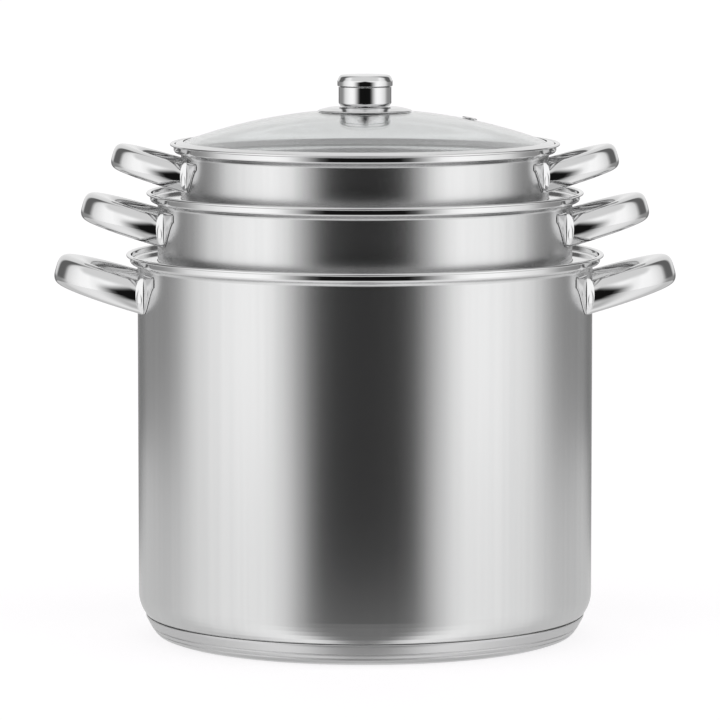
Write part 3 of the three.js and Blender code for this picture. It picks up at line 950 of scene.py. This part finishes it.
def add_studio_light():
    """Soft boxes left and right, a dark gap behind the camera, bright ceiling and backdrop, as one sky."""
    world = bpy.data.worlds.new("studio")
    bpy.context.scene.world = world
    world.use_nodes = True
    tree = world.node_tree
    tree.nodes.clear()
    coord = tree.nodes.new("ShaderNodeTexCoord")
    split = tree.nodes.new("ShaderNodeSeparateXYZ")
    tree.links.new(coord.outputs["Generated"], split.inputs[0])
    toward = math_node(tree, "MULTIPLY", split.outputs["Y"], -1)
    turn = math_node(tree, "ARCTAN2", split.outputs["X"], toward)
    away = math_node(tree, "DIVIDE", math_node(tree, "ABSOLUTE", turn), math.pi)
    over_gap = math_node(tree, "MAXIMUM", math_node(tree, "SUBTRACT", split.outputs["Z"], GAP_TOP), 0)
    taper = mix_value(tree, smooth_step(tree, away, *GAP_SIDES), GAP_TAPER, 0)
    turned = math_node(tree, "MULTIPLY_ADD", over_gap, taper, away)
    lower, upper = (add_ramp(tree, turned, levels, 180) for levels in (WALL_LIGHT, UPPER_LIGHT))
    wall = mix_value(tree, smooth_step(tree, split.outputs["Z"], *HORIZON), lower, upper)
    side = smooth_step(tree, away, *CEILING_SIDES)
    ceiling = mix_value(tree, side, CEILING_LOW, CEILING_HIGH)
    above = math_node(tree, "SUBTRACT", split.outputs["Z"], ceiling)
    light = mix_value(tree, smooth_step(tree, above, 0, CEILING_BLUR), wall, CEILING_LIGHT)
    path = tree.nodes.new("ShaderNodeLightPath")
    seen = mix_value(tree, path.outputs["Is Camera Ray"], light, BACKDROP)
    background = tree.nodes.new("ShaderNodeBackground")
    output = tree.nodes.new("ShaderNodeOutputWorld")
    tree.links.new(seen, background.inputs["Color"])
    tree.links.new(background.outputs[0], output.inputs["Surface"])


def add_table_glow():
    """Glowing disc seen only in the steel's reflections, a painted reflection of the white table round the
    pot: a mirror at flat angles, white at steep ones, with a painted shadow in front of the foot.
    """
    wall_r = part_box("base_cap")[1].x
    table_r = wall_r + TABLE_LIGHT[-1][0]
    mesh = bpy.data.meshes.new("table_glow")
    verts, faces = revolve([(TABLE_HOLE_R, TABLE_LIFT), (table_r, TABLE_LIFT)], 96, closed=False)
    mesh.from_pydata(verts, [], faces)
    glow = bpy.data.objects.new("table_glow", mesh)
    bpy.context.scene.collection.objects.link(glow)
    material = bpy.data.materials.new("table_glow")
    material.use_nodes = True
    tree = material.node_tree
    tree.nodes.clear()
    coord = tree.nodes.new("ShaderNodeTexCoord")
    length = tree.nodes.new("ShaderNodeVectorMath")
    length.operation = "LENGTH"
    tree.links.new(coord.outputs["Object"], length.inputs[0])
    distance = math_node(tree, "SUBTRACT", length.outputs["Value"], wall_r)
    # The share ramp paints a shadow into the table's reflection from 3 to 40 mm in front of the foot.
    front = add_ramp(tree, distance, TABLE_LIGHT, TABLE_LIGHT[-1][0])
    split = tree.nodes.new("ShaderNodeSeparateXYZ")
    tree.links.new(coord.outputs["Object"], split.inputs[0])
    across = math_node(tree, "ABSOLUTE", split.outputs["X"])
    sideways = math_node(tree, "DIVIDE", across, length.outputs["Value"])
    ray = tree.nodes.new("ShaderNodeSeparateXYZ")
    tree.links.new(tree.nodes.new("ShaderNodeNewGeometry").outputs["Incoming"], ray.inputs[0])
    front = math_node(tree, "MULTIPLY", front, smooth_step(tree, ray.outputs["Z"], *TABLE_STEEP))
    near = math_node(tree, "MULTIPLY", smooth_step(tree, distance, *TABLE_FADE), TABLE_NEAR)
    front = math_node(tree, "MAXIMUM", front, near)
    share = mix_value(tree, smooth_step(tree, sideways, *TABLE_SIDES), front, TABLE_SIDE)
    light = tree.nodes.new("ShaderNodeEmission")
    light.inputs["Color"].default_value = (TABLE_WHITE, TABLE_WHITE, TABLE_WHITE, 1)
    clear = tree.nodes.new("ShaderNodeBsdfTransparent")
    mix = tree.nodes.new("ShaderNodeMixShader")
    output = tree.nodes.new("ShaderNodeOutputMaterial")
    for value, socket in ((share, 0), (clear.outputs[0], 1), (light.outputs[0], 2)):
        tree.links.new(value, mix.inputs[socket])
    tree.links.new(mix.outputs[0], output.inputs["Surface"])
    mesh.materials.append(material)
    for kind in ("camera", "diffuse", "transmission", "shadow"):
        setattr(glow, "visible_" + kind, False)


def add_floor():
    """Plain pale floor that glows a little, so only a soft shadow shows under the pot."""
    mesh = bpy.data.meshes.new("floor")
    corners = ((-1, -1), (1, -1), (1, 1), (-1, 1))
    verts = [(x * FLOOR_HALF, y * FLOOR_HALF, -FLOOR_DROP) for x, y in corners]
    mesh.from_pydata(verts, [], [[0, 1, 2, 3]])
    floor = bpy.data.objects.new("floor", mesh)
    bpy.context.scene.collection.objects.link(floor)
    material, _, shader = new_material("floor")
    shader.inputs["Base Color"].default_value = (0.42, 0.415, 0.42, 1)
    shader.inputs["Roughness"].default_value = 1
    shader.inputs["Specular IOR Level"].default_value = 0
    shader.inputs["Emission Color"].default_value = (1, 0.99, 1, 1)
    shader.inputs["Emission Strength"].default_value = 0.72
    mesh.materials.append(material)
    floor.visible_glossy = False


def add_camera():
    """Long lens from the front, a little above the rim."""
    camera = bpy.data.cameras.new("camera")
    camera.sensor_width = 36
    camera.lens = CAMERA["lens"]
    camera.shift_x = CAMERA["shift"]
    camera.clip_end = 100
    obj = bpy.data.objects.new("camera", camera)
    obj.location = (0, -CAMERA["distance"], CAMERA["height"])
    obj.rotation_euler = (math.pi / 2 - CAMERA["pitch"], 0, 0)
    bpy.context.scene.collection.objects.link(obj)
    bpy.context.scene.camera = obj


# ---------------------------------------------------------------- the whole object

def build():
    """Every piece, each in place of its CAD node."""
    brushed = brushed_steel()
    polished = polished_steel("polished_steel", 0.055)
    knob_steel = polished_steel("knob_steel", 0.035)
    fastener = polished_steel("fastener_steel", 0.3)
    pot, *inserts = (Vessel(name, *sizes) for name, sizes in VESSELS.items())
    body = piece("pot_body", plain_shell(pot), brushed, "pot", ["pot_shell"])
    polish_rim(body, pot, polished)
    piece("base_shoe", revolve(cap_outline(), 240), satin_cap(), "pot", ["base_cap"])
    piece("base_disc", revolve(core_outline(pot), 120), aluminium(), "pot", ["base_core"])
    for v in inserts:
        name, node = v.name + "_body", v.name + "_shell"
        shape = perforated_shell(v)
        body = piece(name, shape, brushed, v.name, [node], weld=1e-6, sharp_deg=40)
        polish_rim(body, v, polished)
        add_support_ring(v, polished)
    for v in (pot, *inserts):
        add_handles(v, polished)
    add_lid(polished, knob_steel, fastener, lid_glass(), silicone())
    add_nut(fastener)


add_camera()
add_floor()
add_table_glow()
add_studio_light()
bpy.context.scene.view_settings.view_transform = "Standard"
build()
